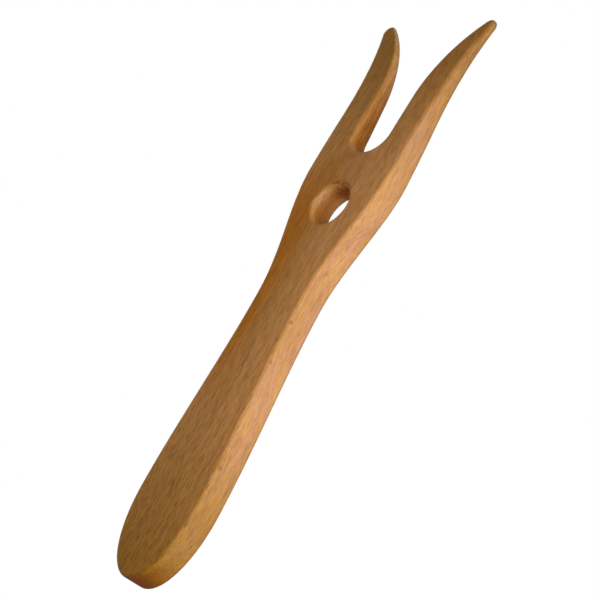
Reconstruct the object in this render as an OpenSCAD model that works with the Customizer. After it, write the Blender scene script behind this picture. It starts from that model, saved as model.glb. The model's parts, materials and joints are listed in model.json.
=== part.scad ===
// Lucet: a two-pronged cord-making fork with a handle, cut and rounded from one beech board.
// It lies on its back with the prongs towards +Y. Distances along it run from the butt of the handle.

/* [Board] */
// Thickness of the board
board_thickness = 9; // [8:0.1:12]
// Rounding along the outer edges of the handle and shoulder
edge_radius = 1.2; // [0.6:0.1:2.2]

/* [Handle] */
// Widest part of the handle
handle_width = 30; // [24:0.2:36]
// Length of the elliptical butt, up to the widest part of the handle
butt_length = 26; // [16:0.5:40]
// Distance from the butt to the narrowest part, the neck
handle_length = 95; // [75:0.5:120]
// Width of the neck
neck_width = 22.2; // [16:0.2:28]

/* [Shoulder] */
// Width across the shoulder, where the outer edges run parallel
shoulder_width = 39; // [34:0.2:46]
// Distance from the neck to where the shoulder has its full width
shoulder_rise = 46; // [36:0.5:52]

/* [Cord hole] */
// Diameter of the straight bore
hole_diameter = 14; // [8:0.1:17]
// Distance from the neck to the middle of the hole
hole_from_neck = 32.7; // [26:0.1:34]
// Rounding of the hole's lip on both faces
lip_radius = 1.8; // [0.5:0.05:3]

/* [Prongs] */
// Distance from the neck to the bottom of the gap between the prongs
gap_from_neck = 53; // [50:0.5:60]
// Width of the gap between the prongs
gap_width = 15.7; // [12:0.1:20]
// Depth of the rounded bottom of the gap
gap_bottom_depth = 6.8; // [4:0.1:10]
// Length of the prongs, from the bottom of the gap to the tips
prong_length = 52; // [46:0.5:66]
// Width over both tips
tip_spread = 50.8; // [46:0.2:60]
// Radius of each tip, seen from the front
tip_radius = 2.5; // [1.5:0.05:2.8]
// Thickness of each tip
tip_thickness = 1.8; // [1.5:0.1:5]
// Length over which the outer edges sweep outwards to the tips
outer_sweep_length = 40.5; // [30:0.5:46]
// Length over which the inner edges sweep outwards to the tips
inner_sweep_length = 31; // [28:0.5:40]
// Distance below the gap at which both faces start to fall away towards the tips
taper_lead = 20; // [10:0.5:24]
// Length over which that fall sets in
taper_blend = 36; // [20:0.5:44]
// Rounding of both edges at the bottom of the gap
gap_edge_radius = 2.2; // [0.8:0.1:3]
// Rounding of both edges at the tips, seen from the front
tip_edge_radius = 1.9; // [0.8:0.1:2.2]

/* [Hidden] */

beech = [0.72, 0.51, 0.32];

// Distances along the lucet
neck_y = handle_length;
shoulder_y = neck_y + shoulder_rise;
hole_y = neck_y + hole_from_neck;
gap_y = neck_y + gap_from_neck;
overall_length = gap_y + prong_length;
taper_y = gap_y - taper_lead;

// Fall of each face per millimetre of length, once it has set in
taper_slope = (board_thickness - tip_thickness) / 2 / (overall_length - taper_y - taper_blend / 2);

// Circles of the right prong: the tip, and the two sweeps that touch it and run into the straight edges
tip_center = [tip_spread / 2 - tip_radius, overall_length - tip_radius];
outer_start = [shoulder_width / 2, overall_length - outer_sweep_length];
inner_start = [gap_width / 2, overall_length - inner_sweep_length];
outer_run = tip_center - outer_start;
inner_run = tip_center - inner_start;
outer_radius = (outer_run * outer_run - tip_radius ^ 2) / (2 * (outer_run.x + tip_radius));
inner_radius = (inner_run * inner_run - tip_radius ^ 2) / (2 * (inner_run.x - tip_radius));
outer_center = outer_start + [outer_radius, 0];
inner_center = inner_start + [inner_radius, 0];
outer_angle = direction(tip_center - outer_center);
inner_angle = direction(tip_center - inner_center);

// Steps along each stretch of the outline; a prong has as many on its outer as on its inner side
butt_steps = 16;
handle_steps = 14;
rise_steps = 16;
sweep_steps = 14;
tip_steps = 5;
slot_steps = 4;
bottom_steps = 8;
side_steps = slot_steps + bottom_steps;
// Steps over each rounded edge
round_steps = 4;
bore_facets = 64;

// Least straight wall between the two rounded edges, at the thin tips
least_wall = 0.6;
// Share of the tip's radius that the rounding may take up
tip_share = 0.8;
// How far the hole's cutter runs past both faces
overcut = 1;

// Bearing of a vector in the plane of the board
function direction(v) = atan2(v.y, v.x);

// Point on a circle
function on_circle(center, radius, angle) = center + radius * [cos(angle), sin(angle)];

// Soft step from a to b as t runs from 0 to 1
function ease(a, b, t) = a + (b - a) * t * t * (3 - 2 * t);

// Unit vector
function unit(v) = v / norm(v);

// Half the thickness at a distance along the lucet
function half_thickness(y) =
    let (run = max(0, y - taper_y))
    board_thickness / 2 - taper_slope * (run < taper_blend ? run * run / (2 * taper_blend) : run - taper_blend / 2);

// Rounding seen from the side, which the thin tips limit
function edge_drop(radius, y) = min(radius, half_thickness(y) - least_wall / 2);

// Right half of the outline, from the middle of the butt round the prong to the bottom of the gap
butt = [for (i = [0 : butt_steps - 1])
    let (a = 90 * i / butt_steps)
    [handle_width / 2 * sin(a), butt_length * (1 - cos(a))]];

handle = [for (i = [0 : handle_steps - 1])
    let (t = i / handle_steps)
    [ease(handle_width, neck_width, t) / 2, butt_length + (neck_y - butt_length) * t]];

rise = [for (i = [0 : rise_steps - 1])
    let (t = i / rise_steps)
    [ease(neck_width, shoulder_width, t) / 2, neck_y + shoulder_rise * t]];

side = [for (i = [0 : side_steps - 1])
    [outer_start.x, shoulder_y + (outer_start.y - shoulder_y) * i / side_steps]];

outer_sweep = [for (i = [0 : sweep_steps - 1])
    on_circle(outer_center, outer_radius, 180 + (outer_angle - 180) * i / sweep_steps)];

tip = [for (i = [0 : 2 * tip_steps])
    on_circle(tip_center, tip_radius, outer_angle - 180 + (inner_angle - outer_angle + 180) * i / (2 * tip_steps))];

inner_sweep = [for (i = [1 : sweep_steps])
    on_circle(inner_center, inner_radius, inner_angle + (180 - inner_angle) * i / sweep_steps)];

slot = [for (i = [1 : slot_steps])
    [inner_start.x, inner_start.y + (gap_y + gap_bottom_depth - inner_start.y) * i / slot_steps]];

gap_bottom = [for (i = [1 : bottom_steps])
    let (a = 90 * i / bottom_steps)
    [gap_width / 2 * cos(a), gap_y + gap_bottom_depth * (1 - sin(a))]];

half = concat(butt, handle, rise, side, outer_sweep, tip, inner_sweep, slot, gap_bottom);
middle = len(half) - 1;
count = 2 * middle;
outline = concat(half, [for (i = [middle - 1 : -1 : 1]) [-half[i].x, half[i].y]]);

// First point of the prong's outer side, and the point at its tip
root = butt_steps + handle_steps + rise_steps;
apex = root + side_steps + sweep_steps + tip_steps;

// Outward direction at a point of the outline
function outward(i) =
    let (
        here = outline[i],
        before = unit(here - outline[(i + count - 1) % count]),
        after = unit(outline[(i + 1) % count] - here),
        along = unit(before + after)
    )
    [along.y, -along.x];

normals = [for (i = [0 : count - 1]) outward(i)];

// Rounding seen from the front, at a point of the outline: along both sides of a prong it goes over to the tip's
function rounding(i) =
    let (
        root_radius = i > apex && i < count - apex ? gap_edge_radius : edge_radius,
        along = max(0, min(1, (outline[i].y - gap_y) / prong_length))
    )
    root_radius + along * (min(tip_edge_radius, tip_share * tip_radius) - root_radius);

// One ring round the lucet: face is 1 for the front edge or -1 for the back edge, angle 0 on the wall, 90 on the face
function ring(face, angle) = [for (i = [0 : count - 1])
    let (
        radius = rounding(i),
        spot = outline[i] - normals[i] * radius * (1 - cos(angle)),
        height = half_thickness(spot.y) - edge_drop(radius, spot.y) * (1 - sin(angle))
    )
    [spot.x, spot.y, board_thickness / 2 + face * height]];

rings = concat(
    [for (k = [0 : round_steps]) ring(-1, 90 - 90 * k / round_steps)],
    [for (k = [0 : round_steps]) ring(1, 90 * k / round_steps)]
);
points = [for (r = rings) each r];
last_ring = (len(rings) - 1) * count;

// Walls between neighbouring rings
walls = [for (k = [0 : len(rings) - 2], i = [0 : count - 1])
    let (
        a = k * count + i,
        b = k * count + (i + 1) % count
    )
    each [[a, a + count, b + count], [a, b + count, b]]];

// A face from side to side: the butt, the rows of the handle, the shoulder and the right prong
body_cap = concat(
    [[0, 1, count - 1]],
    [for (i = [1 : root - 1]) each [[i, i + 1, count - i - 1], [i, count - i - 1, count - i]]],
    [[root, middle, count - root]]
);
prong_cap = concat(
    [for (j = [0 : apex - root - 2])
        each [[root + j, root + j + 1, middle - j - 1], [root + j, middle - j - 1, middle - j]]],
    [[apex - 1, apex, apex + 1]]
);
other_cap = [for (t = prong_cap) [count - t[0], count - t[2], count - t[1]]];
cap = concat(body_cap, prong_cap, other_cap);

back_face = cap;
front_face = [for (t = cap) [last_ring + t[0], last_ring + t[2], last_ring + t[1]]];

// The rounded board without its hole
module blank() {
    polyhedron(points, concat(walls, back_face, front_face), convexity = 8);
}

// What the hole takes out: a straight bore that opens over a rounded lip on both faces
module cord_hole() {
    lip = hole_diameter / 2 + lip_radius;
    rotate_extrude($fn = bore_facets)
        difference() {
            translate([0, -overcut])
                square([lip, board_thickness + 2 * overcut]);
            translate([hole_diameter / 2, lip_radius])
                square([2 * lip_radius, board_thickness - 2 * lip_radius]);
            for (height = [lip_radius, board_thickness - lip_radius])
                translate([lip, height])
                    circle(lip_radius, $fn = bore_facets);
        }
}

// The whole lucet, centred on its length
module lucet_body() {
    color(beech)
        translate([0, -overall_length / 2, 0])
            difference() {
                blank();
                translate([0, hole_y, 0])
                    cord_hole();
            }
}

lucet_body();
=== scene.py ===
import json
from math import atan2, cos, pi, radians, sin
from types import SimpleNamespace

import bmesh
import bpy
from mathutils import Matrix, Vector


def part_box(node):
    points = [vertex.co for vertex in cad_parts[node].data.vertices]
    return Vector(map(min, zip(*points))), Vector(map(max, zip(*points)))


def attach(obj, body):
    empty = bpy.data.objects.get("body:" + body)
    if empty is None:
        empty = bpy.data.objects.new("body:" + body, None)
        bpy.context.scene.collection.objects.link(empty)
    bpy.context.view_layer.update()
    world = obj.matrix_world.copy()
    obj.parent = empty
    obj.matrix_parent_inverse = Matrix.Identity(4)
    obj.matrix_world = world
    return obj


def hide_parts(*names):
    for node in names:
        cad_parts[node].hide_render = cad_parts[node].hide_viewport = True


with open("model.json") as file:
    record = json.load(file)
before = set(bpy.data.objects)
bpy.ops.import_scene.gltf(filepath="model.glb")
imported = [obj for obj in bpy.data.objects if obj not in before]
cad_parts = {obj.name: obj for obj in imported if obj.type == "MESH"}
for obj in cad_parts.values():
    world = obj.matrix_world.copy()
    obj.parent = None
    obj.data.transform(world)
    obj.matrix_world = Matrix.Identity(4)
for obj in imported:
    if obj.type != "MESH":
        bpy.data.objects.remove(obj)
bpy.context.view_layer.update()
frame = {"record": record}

MM = 0.001

# The board and its hole, as the frame gives them
BODY_LOW, BODY_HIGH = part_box("lucet_body")
BUTT_Y = BODY_LOW.y
TIP_Y = BODY_HIGH.y
THICKNESS = BODY_HIGH.z - BODY_LOW.z
TIP_SPREAD = BODY_HIGH.x - BODY_LOW.x
MIDDLE_Z = (BODY_LOW.z + BODY_HIGH.z) / 2
CORD_HOLE = next(m for m in frame["record"]["mounts"] if m["name"] == "cord_hole")
HOLE_Y = CORD_HOLE["pos_m"][1]
HOLE_RADIUS = CORD_HOLE["dims"]["r_mm"] * MM

# The outline, in the same sizes as the part's source
HANDLE_WIDTH = 30 * MM
BUTT_LENGTH = 26 * MM
WIDEST_Y = BUTT_Y + BUTT_LENGTH
NECK_Y = BUTT_Y + 95 * MM
NECK_WIDTH = 22.2 * MM
SHOULDER_Y = BUTT_Y + 141 * MM
SHOULDER_WIDTH = 39 * MM
GAP_Y = BUTT_Y + 148 * MM
GAP_WIDTH = 15.7 * MM
GAP_BOTTOM_DEPTH = 6.8 * MM
TIP_RADIUS = 2.5 * MM
TIP_THICKNESS = 1.8 * MM
OUTER_SWEEP_LENGTH = 40.5 * MM
INNER_SWEEP_LENGTH = 31 * MM

# The right prong: the middle of its tip, and where its two sweeps leave the straight edges
TIP_CENTER = Vector((TIP_SPREAD / 2 - TIP_RADIUS, TIP_Y - TIP_RADIUS))
OUTER_START = Vector((SHOULDER_WIDTH / 2, TIP_Y - OUTER_SWEEP_LENGTH))
INNER_START = Vector((GAP_WIDTH / 2, TIP_Y - INNER_SWEEP_LENGTH))

# Where both faces start to fall away, how softly that sets in, and how much is planed off at the tips
TAPER_Y = GAP_Y - 20 * MM
TAPER_BLEND = 36 * MM
MOST_PLANED = (THICKNESS - TIP_THICKNESS) / 2

# Rounding of the edges, and the narrow rows beside it that hold the flats
EDGE_RADIUS = 1.2 * MM
LIP_RADIUS = 1.8 * MM
GAP_EDGE_RADIUS = 2.2 * MM
TIP_EDGE_RADIUS = 1.9 * MM
LEAST_WALL = 0.6 * MM
ROUND_STEPS = 6
HOLDING_ROW = 0.2 * MM

# The angle past which an edge is sharp, and how far the normal of a flat may lean
SHARP = radians(60)
SQUARE = 0.001

# Steps along each stretch of the outline
BUTT_STEPS = 36
HANDLE_STEPS = 40
RISE_STEPS = 36
SWEEP_STEPS = 36
TIP_STEPS = 16
GAP_STEPS = 14
HOLE_STEPS = 36
BLEND_STEPS = 9

# Points that are closer than this are taken as one
NEAR = 0.01 * MM

# Wood of the front and back
FACE = (0.58, 0.263, 0.071, 1)
# Paler to the right: partly the wood's own tone, partly a painted sheen
FACE_RIGHT_TONE_AND_SHEEN = (0.645, 0.292, 0.086, 1)
WARM_STREAK = (0.53, 0.182, 0.008, 1)
LEFT_PRONG = (0.615, 0.283, 0.074, 1)
FACE_TIP_TINT = (0.61, 0.545, 0.14, 1)

# Wood of the sawn sides
SIDE = (0.747, 0.374, 0.130, 1)
SIDE_PINK = (0.695, 0.339, 0.158, 1)
SIDE_TIP_TINT = (0.61, 0.59, 0.36, 1)
SIDE_BUTT_TINT = (1.0, 1.0, 0.42, 1)

# Darker end grain and butt, painted shade on the edges at both ends, a painted highlight on one
# prong's edge, and stains
END_GRAIN_TINT = (0.64, 0.32, 0.02, 1)
BUTT_TINT = (0.61, 0.58, 0.18, 1)
# Painted shade on the rounded edges at the butt and along the prongs
BUTT_EDGE_SHADE = (0.76, 0.73, 0.50, 1)
PRONG_EDGE_SHADE = (0.87, 0.86, 0.93, 1)
# Painted highlight along the outer edge of the right prong near its tip
EDGE_HIGHLIGHT = (0.55, 0.250, 0.068, 1)
STAIN_PALE = (1.05, 1.07, 1.11, 1)
STAIN_DARK = (0.95, 0.93, 0.89, 1)

# The gap's painted light, shade and orange bounce light, at distances from the butt in millimetres,
# and its streaks
GAP_EDGE_SHADE = (
    (150, (0.64, 0.290, 0.072, 1)),
    (168, (0.515, 0.212, 0.043, 1)),
    (186, (0.70, 0.343, 0.106, 1)),
    (196, (0.64, 0.385, 0.175, 1)),
)
GAP_WALL_SHADE = (
    (150, (0.65, 0.220, 0.027, 1)),
    (158, (0.56, 0.190, 0.029, 1)),
    (168, (0.575, 0.225, 0.049, 1)),
    (181, (0.66, 0.328, 0.115, 1)),
    (192, (0.54, 0.305, 0.120, 1)),
)
STREAK_PALE = (1.12, 1.14, 1.20, 1)
STREAK_DARK = (0.88, 0.84, 0.72, 1)

# Painted light and shade in the hole, and the two ways from its middle in which they differ
HOLE_LIP_HIGHLIGHT = (0.735, 0.372, 0.104, 1)
HOLE_WALL_SHADE = (0.72, 0.28, 0.055, 1)
HOLE_TOP_SHADE = (0.36, 0.09, 0.010, 1)
LIP_HIGHLIGHT_PATCHES = (0.76, 0.42, 0.175, 1)
ROUGH_LIP_TINT = (0.70, 0.58, 0.45, 1)
UPPER_LEFT = (-0.9, 0.44, 0)
TOP = (0.09, 1, 0)

# Grain: how far bands and fibres move red, green and blue, and the colour of the flecks
BAND_CONTRAST = (0.07, 0.08, 0.14)
FIBRE_CONTRAST = (0.12, 0.135, 0.19)
FLECK_TINT = (0.69, 0.62, 0.50, 1)

# Small knocks: their colour, and the place and size of each in millimetres
KNOCK = (0.36, 0.12, 0.03, 1)
KNOCKS = (((11.0, 86.4, 8.1), 1.0), ((12.1, 72.8, 8.4), 0.8), ((14.6, 38.4, 8.1), 0.9))

# Ranges of the noise over which a colour changes: nearly all of it, or its middle
NOISE_SPREAD = (0.3, 0.7)
NOISE_MIDDLE = (0.36, 0.64)

# Soft border of what lies inside the gap or the hole, in millimetres
BORDER = 0.8

# The photo's view, and the studio
AZIMUTH = radians(70.65)
ELEVATION = radians(34.66)
ROLL = radians(-49.98)
AIM = Vector((-3.91, -1.18, -1.75)) * MM
DISTANCE = 460 * MM
LENS = 90
SENSOR_WIDTH = 36
WHITE = (1, 1, 1, 1)
ROOM_LIGHT = 0.215
FLOOR_SIZE = 8
FLOOR_DROP = 0.3 * MM


def ease(a, b, t):
    """Soft step from a to b as t runs from 0 to 1."""
    return a + (b - a) * t * t * (3 - 2 * t)


def half_thickness(y):
    """Half the board's thickness at a place along it."""
    slope = MOST_PLANED / (TIP_Y - TAPER_Y - TAPER_BLEND / 2)
    run = max(0, y - TAPER_Y)
    if run < TAPER_BLEND:
        return THICKNESS / 2 - slope * run * run / (2 * TAPER_BLEND)
    return THICKNESS / 2 - slope * (run - TAPER_BLEND / 2)


def sweep_center(start, outer):
    """Centre of a prong's outer or inner sweep, from its straight edge to the tip's circle."""
    run = TIP_CENTER - start
    side = 1 if outer else -1
    radius = (run.length_squared - TIP_RADIUS ** 2) / (2 * (run.x + side * TIP_RADIUS))
    return start + Vector((radius, 0))


def pen(board):
    """End of the outline drawn so far, which is the one selected vertex."""
    mesh = bmesh.from_edit_mesh(board.data)
    return next(v.co.copy() for v in mesh.verts if v.select)


def line_to(board, x, y):
    """Extrudes the end of the outline to its next point."""
    here = pen(board)
    bpy.ops.mesh.extrude_region_move(
        TRANSFORM_OT_translate={"value": (x - here.x, y - here.y, 0)})


def arc_to(board, center, end, steps, clockwise):
    """Spins the end of the outline about a centre, to the bearing of a point."""
    here = pen(board)
    start_angle = atan2(here.y - center.y, here.x - center.x)
    end_angle = atan2(end.y - center.y, end.x - center.x)
    turn = (end_angle - start_angle) % (2 * pi)
    if clockwise:
        turn -= 2 * pi
    bpy.ops.mesh.spin(
        steps=steps, angle=-turn, center=(center.x, center.y, here.z), axis=(0, 0, 1))


def ease_to(board, start_width, end_width, start_y, end_y, steps):
    """Draws a stretch of the edge along which the board's width changes softly."""
    for i in range(1, steps + 1):
        t = i / steps
        line_to(board, ease(start_width, end_width, t) / 2, start_y + (end_y - start_y) * t)


def draw_handle(board):
    """Draws the right edge, from the middle of the butt to the full width of the shoulder."""
    for i in range(1, BUTT_STEPS + 1):
        a = pi / 2 * i / BUTT_STEPS
        line_to(board, HANDLE_WIDTH / 2 * sin(a), BUTT_Y + BUTT_LENGTH * (1 - cos(a)))
    ease_to(board, HANDLE_WIDTH, NECK_WIDTH, WIDEST_Y, NECK_Y, HANDLE_STEPS)
    ease_to(board, NECK_WIDTH, SHOULDER_WIDTH, NECK_Y, SHOULDER_Y, RISE_STEPS)


def draw_prong(board):
    """Draws the right prong: its outer sweep, its tip, its inner sweep and the bottom of the gap."""
    outer_center = sweep_center(OUTER_START, outer=True)
    inner_center = sweep_center(INNER_START, outer=False)
    touch = TIP_CENTER + (TIP_CENTER - inner_center).normalized() * TIP_RADIUS
    line_to(board, OUTER_START.x, OUTER_START.y)
    arc_to(board, outer_center, TIP_CENTER, SWEEP_STEPS, clockwise=True)
    arc_to(board, TIP_CENTER, touch, TIP_STEPS, clockwise=False)
    arc_to(board, inner_center, INNER_START, SWEEP_STEPS, clockwise=False)
    line_to(board, INNER_START.x, GAP_Y + GAP_BOTTOM_DEPTH)
    for i in range(1, GAP_STEPS + 1):
        a = pi / 2 * i / GAP_STEPS
        line_to(board, GAP_WIDTH / 2 * cos(a), GAP_Y + GAP_BOTTOM_DEPTH * (1 - sin(a)))


def draw_middle(board):
    """Draws the way back to the butt: down the middle, and round the right side of the hole."""
    line_to(board, 0, HOLE_Y + HOLE_RADIUS)
    arc_to(board, Vector((0, HOLE_Y)), Vector((0, HOLE_Y - HOLE_RADIUS)), HOLE_STEPS, clockwise=True)
    line_to(board, 0, BUTT_Y)


def select_faces(board, test):
    """Selects the faces that pass a test, and nothing else."""
    bpy.ops.mesh.select_mode(type="FACE")
    bpy.ops.mesh.select_all(action="DESELECT")
    mesh = bmesh.from_edit_mesh(board.data)
    for face in mesh.faces:
        face.select = test(face)
    mesh.select_flush_mode()
    bmesh.update_edit_mesh(board.data)


def start_board():
    """A new piece in edit mode, with one selected vertex at the middle of the butt."""
    bpy.ops.object.select_all(action="DESELECT")
    bpy.ops.mesh.primitive_plane_add(size=2 * MM)
    board = bpy.context.active_object
    board.name = "beech_lucet"
    bpy.ops.object.mode_set(mode="EDIT")
    bpy.ops.mesh.select_mode(type="VERT")
    bpy.ops.mesh.select_all(action="SELECT")
    bpy.ops.mesh.merge(type="CENTER")
    bpy.ops.mesh.select_all(action="SELECT")
    bpy.ops.transform.translate(value=(0, BUTT_Y, BODY_LOW.z))
    return board


def saw_half():
    """The right half of the board, sawn to its outline with square edges, open along the middle."""
    board = start_board()
    draw_handle(board)
    draw_prong(board)
    draw_middle(board)
    bpy.ops.mesh.select_all(action="SELECT")
    bpy.ops.mesh.remove_doubles(threshold=NEAR)
    bpy.ops.mesh.edge_face_add()
    bpy.ops.mesh.extrude_region_move(TRANSFORM_OT_translate={"value": (0, 0, THICKNESS)})
    select_faces(board, lambda face: all(abs(v.co.x) < NEAR for v in face.verts))
    bpy.ops.mesh.delete(type="FACE")
    bpy.ops.object.mode_set(mode="OBJECT")
    return board


def mirror_half(board):
    """Adds the left half and joins the two along the middle."""
    mirror = board.modifiers.new("Other half", "MIRROR")
    mirror.use_clip = True
    mirror.merge_threshold = NEAR
    bpy.ops.object.modifier_apply(modifier=mirror.name)
    bpy.ops.object.mode_set(mode="EDIT")
    bpy.ops.mesh.select_all(action="SELECT")
    bpy.ops.mesh.remove_doubles(threshold=NEAR)
    bpy.ops.mesh.normals_make_consistent(inside=False)
    bpy.ops.object.mode_set(mode="OBJECT")


def rounding(vert):
    """Radius to which an edge of the sawn board is rounded at one of its corners."""
    x, y, _ = vert.co
    if (vert.co.xy - Vector((0, HOLE_Y))).length < HOLE_RADIUS + NEAR:
        return LIP_RADIUS
    in_gap = y > GAP_Y - NEAR and (abs(x) < GAP_WIDTH / 2 + NEAR or vert.normal.x * x < 0)
    root_radius = GAP_EDGE_RADIUS if in_gap else EDGE_RADIUS
    along = max(0, (y - GAP_Y) / (TIP_Y - GAP_Y))
    return root_radius + along * (TIP_EDGE_RADIUS - root_radius)


def weigh_edges(board):
    """Stores the rounding of each sharp edge and of each corner, as shares of the largest one."""
    radii = board.vertex_groups.new(name="radii")
    for vert in board.data.vertices:
        radii.add([vert.index], rounding(vert) / GAP_EDGE_RADIUS, "REPLACE")
    bpy.ops.object.mode_set(mode="EDIT")
    mesh = bmesh.from_edit_mesh(board.data)
    weight = mesh.edges.layers.float.new("bevel_weight_edge")
    for edge in mesh.edges:
        if edge.calc_face_angle(0) > SHARP:
            edge[weight] = sum(rounding(v) for v in edge.verts) / 2 / GAP_EDGE_RADIUS
    bmesh.update_edit_mesh(board.data)
    bpy.ops.object.mode_set(mode="OBJECT")


def round_edges(board):
    """Rounds the outline and both lips of the hole, and adds the rows that hold the flats."""
    weigh_edges(board)
    rounder = board.modifiers.new("Rounded edges", "BEVEL")
    rounder.limit_method = "WEIGHT"
    rounder.width = GAP_EDGE_RADIUS
    rounder.segments = ROUND_STEPS
    rounder.profile = 0.5
    rounder.use_clamp_overlap = False
    bpy.ops.object.modifier_apply(modifier=rounder.name)
    bpy.ops.object.mode_set(mode="EDIT")
    select_faces(board, lambda face: not SQUARE <= abs(face.normal.z) <= 1 - SQUARE)
    bpy.ops.mesh.inset(thickness=HOLDING_ROW)
    bpy.ops.object.mode_set(mode="OBJECT")


def planed_height(y, height, radius):
    """Height above the middle of the board that planing leaves to a point of its surface."""
    half = half_thickness(y)
    drop = min(radius, half - LEAST_WALL / 2)
    below = THICKNESS / 2 - height
    if below < radius:
        return half - below * drop / radius
    return height * (half - drop) / (THICKNESS / 2 - radius)


def plane_face(board, name, side):
    """Planes one face down towards the tips: side is 1 for the front and -1 for the back."""
    depths = board.vertex_groups.new(name=name)
    radii = board.vertex_groups["radii"]
    for vert in board.data.vertices:
        height = side * (vert.co.z - MIDDLE_Z)
        if height > 0 and vert.co.y > TAPER_Y:
            radius = radii.weight(vert.index) * GAP_EDGE_RADIUS
            depth = height - planed_height(vert.co.y, height, radius)
            depths.add([vert.index], depth / MOST_PLANED, "REPLACE")
    plane = board.modifiers.new(name, "DISPLACE")
    plane.direction = "Z"
    plane.mid_level = 0
    plane.strength = -side * MOST_PLANED
    plane.vertex_group = name
    bpy.ops.object.modifier_apply(modifier=plane.name)


def plane_prongs(board):
    """Planes both faces down towards the tips; the rounding follows, and gets flatter there."""
    bpy.ops.object.mode_set(mode="EDIT")
    for i in range(BLEND_STEPS + 1):
        row_y = TAPER_Y + TAPER_BLEND * i / BLEND_STEPS
        bpy.ops.mesh.select_all(action="SELECT")
        bpy.ops.mesh.bisect(plane_co=(0, row_y, 0), plane_no=(0, 1, 0), threshold=NEAR)
    bpy.ops.object.mode_set(mode="OBJECT")
    plane_face(board, "front", 1)
    plane_face(board, "back", -1)
    board.vertex_groups.clear()
    bpy.ops.object.mode_set(mode="EDIT")
    bpy.ops.mesh.select_all(action="SELECT")
    bpy.ops.mesh.normals_make_consistent(inside=False)
    bpy.ops.object.mode_set(mode="OBJECT")
    bpy.ops.object.shade_smooth()


def add(tree, kind, inputs=None, **settings):
    """Adds a node, sets what it is given, and wires the sockets among its inputs."""
    made = tree.nodes.new(kind)
    for name, value in settings.items():
        setattr(made, name, value)
    for key, value in (inputs or {}).items():
        if isinstance(value, bpy.types.NodeSocket):
            tree.links.new(value, made.inputs[key])
        else:
            made.inputs[key].default_value = value
    return made


def blank_tree(owner):
    """Turns nodes on and clears them."""
    owner.use_nodes = True
    owner.node_tree.nodes.clear()
    return owner.node_tree


def calc(tree, operation, a, b=0.0):
    """One sum on two values."""
    return add(tree, "ShaderNodeMath", {0: a, 1: b}, operation=operation).outputs[0]


def calc_vector(tree, operation, a, b=(0, 0, 0)):
    """One sum on two vectors that gives a vector."""
    return add(tree, "ShaderNodeVectorMath", {0: a, 1: b}, operation=operation).outputs["Vector"]


def measure(tree, operation, a, b):
    """One sum on two vectors that gives a value."""
    return add(tree, "ShaderNodeVectorMath", {0: a, 1: b}, operation=operation).outputs["Value"]


def where_all(tree, *masks):
    """A mask that shows only where all the given ones do."""
    shown = masks[0]
    for mask in masks[1:]:
        shown = calc(tree, "MULTIPLY", shown, mask)
    return shown


def fade(tree, value, start, end, low=0.0, high=1.0):
    """A value that goes softly from low to high as another goes from start to end."""
    return add(tree, "ShaderNodeMapRange", {
        "Value": value, "From Min": start, "From Max": end, "To Min": low, "To Max": high,
    }, interpolation_type="SMOOTHSTEP").outputs["Result"]


def blend(tree, mask, a, b, blend_type="MIX"):
    """Two colours blended by a mask; the node's colour sockets are told apart by their numbers."""
    return add(tree, "ShaderNodeMix", {0: mask, 6: a, 7: b},
               data_type="RGBA", blend_type=blend_type).outputs[2]


def tint(tree, mask, color, shade):
    """A colour multiplied by another where a mask shows."""
    return blend(tree, mask, color, shade, "MULTIPLY")


def ramp(tree, value, stops):
    """A colour that goes through a row of stops, each of them a value and the colour there."""
    low, high = stops[0][0], stops[-1][0]
    share = add(tree, "ShaderNodeMapRange", {
        "Value": value, "From Min": low, "From Max": high,
    }).outputs["Result"]
    made = add(tree, "ShaderNodeValToRGB", {"Fac": share})
    steps = made.color_ramp.elements
    for _ in stops[2:]:
        steps.new(0.5)
    for step, (stop, color) in zip(steps, stops):
        step.position = (stop - low) / (high - low)
        step.color = color
    return made.outputs["Color"]


def noise(tree, place, stretch, detail=2.0, roughness=0.5):
    """Cloudy noise; stretch is how often it repeats per millimetre, each way."""
    spot = add(tree, "ShaderNodeMapping", {"Vector": place, "Scale": stretch}).outputs["Vector"]
    return add(tree, "ShaderNodeTexNoise", {
        "Vector": spot, "Scale": 1.0, "Detail": detail, "Roughness": roughness,
    }).outputs["Fac"]


def from_butt(x, y):
    """A place in the plane of the board, in millimetres from the middle of the butt."""
    return (x / MM, (y - BUTT_Y) / MM, 0)


def flat_distance(tree, place, center):
    """Distance in millimetres from a place on the board, seen from the front."""
    flat = calc_vector(tree, "MULTIPLY", place, (1, 1, 0))
    return measure(tree, "DISTANCE", flat, center)


def lean(tree, place, center, direction):
    """How squarely a point lies to one side of a centre, from 1 that way to -1 the other way."""
    away = calc_vector(tree, "SUBTRACT", place, center)
    flat = calc_vector(tree, "MULTIPLY", away, (1, 1, 0))
    return measure(tree, "DOT_PRODUCT", calc_vector(tree, "NORMALIZE", flat), direction)


def board_spot(tree):
    """Where a point of the surface lies, in millimetres from the butt, and how it faces."""
    coords = add(tree, "ShaderNodeTexCoord").outputs["Object"]
    place = add(tree, "ShaderNodeMapping", {
        "Vector": coords, "Location": (0, -BUTT_Y / MM, 0), "Scale": (1 / MM, 1 / MM, 1 / MM),
    }).outputs["Vector"]
    spot = add(tree, "ShaderNodeSeparateXYZ", {0: place}).outputs
    normal = add(tree, "ShaderNodeNewGeometry").outputs["Normal"]
    facing = add(tree, "ShaderNodeSeparateXYZ", {0: normal}).outputs
    return SimpleNamespace(
        place=place,
        across=spot["X"],
        along=spot["Y"],
        height=spot["Z"],
        facing_right=facing["X"],
        end_on=calc(tree, "ABSOLUTE", facing["Y"]),
        face_on=calc(tree, "ABSOLUTE", facing["Z"]),
    )


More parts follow.
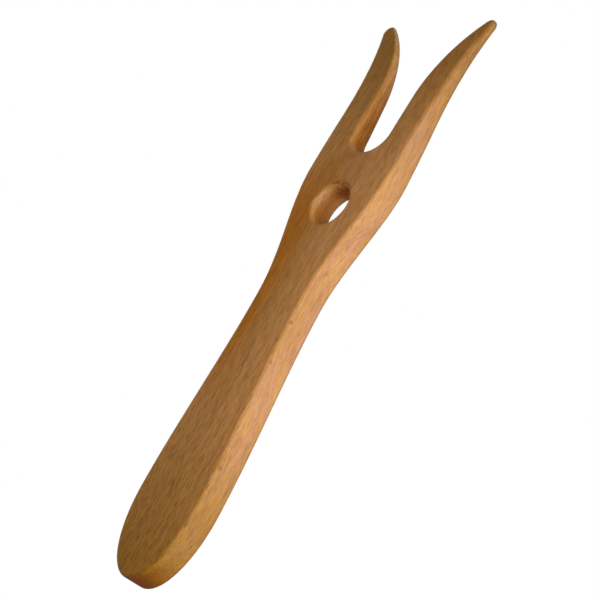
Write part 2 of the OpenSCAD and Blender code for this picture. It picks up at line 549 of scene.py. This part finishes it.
def face_wood(tree, at):
    """Front and back: paler to the right, partly wood tone and partly painted sheen; a warm streak
    left of neck and shoulder, darker tips.
    """
    drift = noise(tree, at.place, (0.05, 0.012, 0.05), detail=1.0)
    shifted = calc(tree, "ADD", at.across, fade(tree, drift, *NOISE_SPREAD, -2.5, 2.5))
    wood = blend(tree, fade(tree, shifted, 0, 12), FACE, FACE_RIGHT_TONE_AND_SHEEN)
    on_left = fade(tree, shifted, 3, -7)
    streak = where_all(tree, fade(tree, at.along, 50, 88), fade(tree, at.along, 165, 118), on_left)
    wood = blend(tree, streak, wood, WARM_STREAK)
    left_prong = where_all(tree, fade(tree, at.across, -6, -14), fade(tree, at.along, 132, 152))
    wood = blend(tree, left_prong, wood, LEFT_PRONG)
    return tint(tree, fade(tree, at.along, 128, 206), wood, FACE_TIP_TINT)


def side_wood(tree, at):
    """Sawn sides: mottled pale and pink, darker towards the tips and more golden at the butt."""
    mottle = fade(tree, noise(tree, at.place, (0.5, 0.08, 0.5), detail=3.0), *NOISE_MIDDLE)
    wood = blend(tree, mottle, SIDE, SIDE_PINK)
    wood = tint(tree, fade(tree, at.along, 118, 206), wood, SIDE_TIP_TINT)
    return tint(tree, fade(tree, at.along, 10, 2), wood, SIDE_BUTT_TINT)


def sawn_wood(tree, at):
    """Faces and sides; on the thin tips the side's colour starts on a flatter part of the rounding."""
    flatter = fade(tree, at.along, 174, 190, 0, 0.25)
    on_side = fade(tree, calc(tree, "SUBTRACT", at.face_on, flatter), 0.75, 0.1)
    return blend(tree, on_side, face_wood(tree, at), side_wood(tree, at))


def darken_ends(tree, at, wood):
    """End grain has drunk more oil, the board is darker towards the butt, and the edges at both ends
    carry painted shade.
    """
    wood = tint(tree, fade(tree, at.end_on, 0.38, 0.98), wood, END_GRAIN_TINT)
    wood = tint(tree, fade(tree, at.along, 62, -8), wood, BUTT_TINT)
    # Painted shade on the rounded edges at the butt and along the prongs
    on_edge = where_all(tree, fade(tree, at.face_on, 1, 0.93), fade(tree, at.face_on, 0.35, 0.65))
    butt_edge_shade = where_all(tree, on_edge, fade(tree, at.along, 14, 8))
    wood = tint(tree, butt_edge_shade, wood, BUTT_EDGE_SHADE)
    prong_edge_shade = where_all(tree, on_edge, fade(tree, at.along, 132, 146))
    return tint(tree, prong_edge_shade, wood, PRONG_EDGE_SHADE)


def paint_edge_highlight(tree, at, wood):
    """A painted highlight: a paler band on the face along the outer edge of the right prong, towards
    the tip.
    """
    center = sweep_center(OUTER_START, outer=True)
    radius = (center.x - OUTER_START.x) / MM
    from_edge = calc(tree, "SUBTRACT", flat_distance(tree, at.place, from_butt(*center)), radius)
    along_edge = where_all(tree, fade(tree, from_edge, 3.2, 1.2), fade(tree, at.along, 168, 184))
    highlighted = where_all(tree, along_edge, fade(tree, at.face_on, 0.3, 0.8))
    return blend(tree, highlighted, wood, EDGE_HIGHLIGHT)


def paint_gap_light_and_shade(tree, at, wood):
    """Painted light and shade in the gap: edges darkest part way up, and streaky orange walls with
    painted shade and bounce light that fade towards the tips.
    """
    reach = (GAP_WIDTH / 2 + GAP_EDGE_RADIUS) / MM
    from_bottom = flat_distance(tree, at.place, from_butt(0, GAP_Y + GAP_BOTTOM_DEPTH))
    in_bottom = fade(tree, from_bottom, reach, reach - BORDER)
    facing_in = fade(tree, calc(tree, "MULTIPLY", at.across, at.facing_right), -0.5, -3)
    in_gap = calc(tree, "MAXIMUM", facing_in, in_bottom)

    on_edge = where_all(tree, in_gap, fade(tree, at.face_on, 0.998, 0.7))
    # Painted light and shade along the gap's edge
    wood = blend(tree, on_edge, wood, ramp(tree, at.along, GAP_EDGE_SHADE))

    streaks = fade(tree, noise(tree, at.place, (0.9, 0.11, 0.9)), *NOISE_MIDDLE)
    streaks = blend(tree, streaks, STREAK_PALE, STREAK_DARK)
    # Painted shade and orange bounce light on the gap's walls
    wall = tint(tree, 1.0, ramp(tree, at.along, GAP_WALL_SHADE), streaks)
    flatter = fade(tree, at.along, 154, 166, 0, 0.25)
    on_wall = fade(tree, calc(tree, "SUBTRACT", at.face_on, flatter), 0.25, -0.05)
    return blend(tree, where_all(tree, in_gap, on_wall), wood, wall)


def paint_hole_light_and_shade(tree, at, wood):
    """The hole's lip has a painted highlight, strongest and patchy at its upper left; its wall has
    painted shade and bounce light, its top painted shade.
    """
    center = from_butt(0, HOLE_Y)
    reach = (HOLE_RADIUS + LIP_RADIUS) / MM
    from_hole = flat_distance(tree, at.place, center)
    from_middle = calc(tree, "ABSOLUTE", calc(tree, "SUBTRACT", at.height, MIDDLE_Z / MM))
    upper_left = lean(tree, at.place, center, UPPER_LEFT)
    top = lean(tree, at.place, center, TOP)
    in_hole = fade(tree, from_hole, reach, reach - BORDER)

    # Painted highlight on the lip, strongest at its upper left
    lit_side = fade(tree, upper_left, -0.2, 0.6, 0.5, 1)
    on_lip = where_all(tree, in_hole, fade(tree, at.face_on, 0.98, 0.65), lit_side)
    wood = blend(tree, on_lip, wood, HOLE_LIP_HIGHLIGHT)
    # Painted shade and orange bounce light on the hole's wall
    on_wall = where_all(tree, in_hole, fade(tree, at.face_on, 0.45, 0.1))
    wood = blend(tree, on_wall, wood, HOLE_WALL_SHADE)

    # Painted highlight in patches on the upper left of the lip
    patches = fade(tree, noise(tree, at.place, (1.1, 0.7, 0.9)), 0.35, 0.6, 0.25, 0.75)
    near_lip = where_all(
        tree, fade(tree, from_middle, 0.5, 2.3), fade(tree, from_hole, reach + 0.4, reach - 1.2))
    lit_patches = where_all(tree, fade(tree, upper_left, 0.7, 0.98), near_lip, patches)
    wood = blend(tree, lit_patches, wood, LIP_HIGHLIGHT_PATCHES)

    # Painted shade at the top of the hole, strongest at mid-depth
    deep = fade(tree, from_middle, 3, 0, 0.35, 0.85)
    shaded = where_all(tree, in_hole, fade(tree, top, 0.5, 0.95), deep)
    wood = blend(tree, shaded, wood, HOLE_TOP_SHADE)

    nicks = fade(tree, noise(tree, at.place, (0.9, 1.0, 0.9)), 0.42, 0.6)
    round_lip = fade(tree, from_hole, reach + 0.4, reach - BORDER)
    rough = where_all(tree, fade(tree, top, 0.68, 0.95), round_lip, nicks)
    return tint(tree, rough, wood, ROUGH_LIP_TINT)


def stain_prongs(tree, at, wood):
    """Yarn and hands have stained the prongs unevenly."""
    patches = fade(tree, noise(tree, at.place, (0.35, 0.14, 0.35), detail=3.0), *NOISE_MIDDLE)
    stain = blend(tree, patches, STAIN_PALE, STAIN_DARK)
    return tint(tree, fade(tree, at.along, 130, 152), wood, stain)


def grow_grain(tree, at):
    """Growth bands, fibres and short flecks, which run along the board."""
    return SimpleNamespace(
        bands=noise(tree, at.place, (0.26, 0.004, 0.26)),
        fibres=noise(tree, at.place, (1.7, 0.16, 1.7), detail=3.0, roughness=0.65),
        flecks=fade(tree, noise(tree, at.place, (2.3, 0.32, 2.3), detail=1.0), 0.50, 0.63),
    )


def show_grain(tree, at, wood, grain):
    """Draws the grain into the wood, with flecks that are strongest on the faces of the handle."""
    for pattern, contrast in ((grain.bands, BAND_CONTRAST), (grain.fibres, FIBRE_CONTRAST)):
        shares = [fade(tree, pattern, *NOISE_SPREAD, 1 - most, 1 + most) for most in contrast]
        shade = add(tree, "ShaderNodeCombineColor", dict(enumerate(shares))).outputs[0]
        wood = tint(tree, 1.0, wood, shade)
    on_handle = fade(tree, at.along, 110, 30, 0.55, 0.85)
    on_face = fade(tree, at.face_on, 0.5, 0.95, 0.5, 1)
    return tint(tree, where_all(tree, grain.flecks, on_handle, on_face), wood, FLECK_TINT)


def add_knocks(tree, at, wood):
    """Small dark knocks on the right edge."""
    for center, size in KNOCKS:
        away = measure(tree, "DISTANCE", at.place, center)
        wood = blend(tree, fade(tree, away, size, 0.3 * size, 0, 0.6), wood, KNOCK)
    return wood


def oiled_beech():
    """Oiled beech with its grain, paler sawn sides and darker ends, and painted light and shade on
    edges, in the gap and in the hole.
    """
    made = bpy.data.materials.new("oiled_beech")
    tree = blank_tree(made)
    at = board_spot(tree)
    grain = grow_grain(tree, at)
    wood = sawn_wood(tree, at)
    wood = darken_ends(tree, at, wood)
    wood = paint_edge_highlight(tree, at, wood)
    wood = paint_gap_light_and_shade(tree, at, wood)
    wood = paint_hole_light_and_shade(tree, at, wood)
    wood = stain_prongs(tree, at, wood)
    wood = show_grain(tree, at, wood, grain)
    wood = add_knocks(tree, at, wood)

    # Flecks are shallow pores between raised fibres
    relief = calc(tree, "SUBTRACT", calc(tree, "MULTIPLY", grain.fibres, 0.5), grain.flecks)
    bump = add(tree, "ShaderNodeBump", {"Strength": 0.35, "Distance": 0.04 * MM, "Height": relief})
    shader = add(tree, "ShaderNodeBsdfPrincipled", {
        "Base Color": wood,
        "Roughness": fade(tree, grain.bands, *NOISE_SPREAD, 0.46, 0.58),
        "Specular IOR Level": 0.2,
        "Normal": bump.outputs["Normal"],
    })
    add(tree, "ShaderNodeOutputMaterial", {"Surface": shader.outputs["BSDF"]})
    return made


def make_lucet():
    """The lucet, from one board."""
    board = saw_half()
    mirror_half(board)
    round_edges(board)
    plane_prongs(board)
    board.data.materials.append(oiled_beech())
    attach(board, "root")
    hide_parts("lucet_body")


def lay_floor():
    """A white floor that only the camera sees, so the lucet lies on clean white without a shadow."""
    bpy.ops.object.select_all(action="DESELECT")
    bpy.ops.mesh.primitive_plane_add(size=FLOOR_SIZE, location=(0, 0, BODY_LOW.z - FLOOR_DROP))
    floor = bpy.context.active_object
    floor.name = "floor"
    white = bpy.data.materials.new("white_floor")
    tree = blank_tree(white)
    glow = add(tree, "ShaderNodeEmission", {"Color": WHITE, "Strength": 1.0})
    add(tree, "ShaderNodeOutputMaterial", {"Surface": glow.outputs["Emission"]})
    floor.data.materials.append(white)
    floor.visible_diffuse = False
    floor.visible_glossy = False
    floor.visible_transmission = False
    floor.visible_shadow = False


def add_lamp(name, place, width, height, energy):
    """A soft rectangular lamp, turned to the middle of the board, with its width along the table."""
    data = bpy.data.lights.new(name, "AREA")
    data.shape = "RECTANGLE"
    data.size = width
    data.size_y = height
    data.energy = energy
    lamp = bpy.data.objects.new(name, data)
    bpy.context.collection.objects.link(lamp)
    lamp.location = place
    away = Vector(place) - Vector((0, 0, MIDDLE_Z))
    lamp.rotation_euler = away.to_track_quat("Z", "Y").to_euler()
    lamp.visible_camera = False


def light_scene():
    """A long low strip on each side of the board, a soft lamp over its right, and a dim even room."""
    world = bpy.data.worlds.new("studio")
    bpy.context.scene.world = world
    tree = blank_tree(world)
    room = add(tree, "ShaderNodeBackground", {"Color": WHITE, "Strength": ROOM_LIGHT})
    backdrop = add(tree, "ShaderNodeBackground", {"Color": WHITE, "Strength": 1.0})
    seen = add(tree, "ShaderNodeLightPath").outputs["Is Camera Ray"]
    mixed = add(tree, "ShaderNodeMixShader", {0: seen, 1: room.outputs[0], 2: backdrop.outputs[0]})
    add(tree, "ShaderNodeOutputWorld", {"Surface": mixed.outputs[0]})
    add_lamp("right_strip", place=(300 * MM, 0, 35 * MM), width=700 * MM, height=150 * MM, energy=0.8)
    add_lamp("left_strip", place=(-300 * MM, 0, 0), width=700 * MM, height=40 * MM, energy=0.45)
    add_lamp("over_right", place=(240 * MM, -90 * MM, 305 * MM),
             width=250 * MM, height=250 * MM, energy=0.555)


def set_camera():
    """The photo's view: a long lens, turned so that the handle runs down to the left."""
    back = Vector((sin(AZIMUTH) * cos(ELEVATION), -cos(AZIMUTH) * cos(ELEVATION), sin(ELEVATION)))
    view = bpy.data.cameras.new("photo_view")
    view.lens = LENS
    view.sensor_width = SENSOR_WIDTH
    camera = bpy.data.objects.new("photo_view", view)
    bpy.context.collection.objects.link(camera)
    turn = back.to_track_quat("Z", "Y").to_matrix() @ Matrix.Rotation(ROLL, 3, "Z")
    camera.matrix_world = Matrix.Translation(AIM + back * DISTANCE) @ turn.to_4x4()
    bpy.context.scene.camera = camera


set_camera()
make_lucet()
lay_floor()
light_scene()
bpy.context.scene.view_settings.view_transform = "Standard"
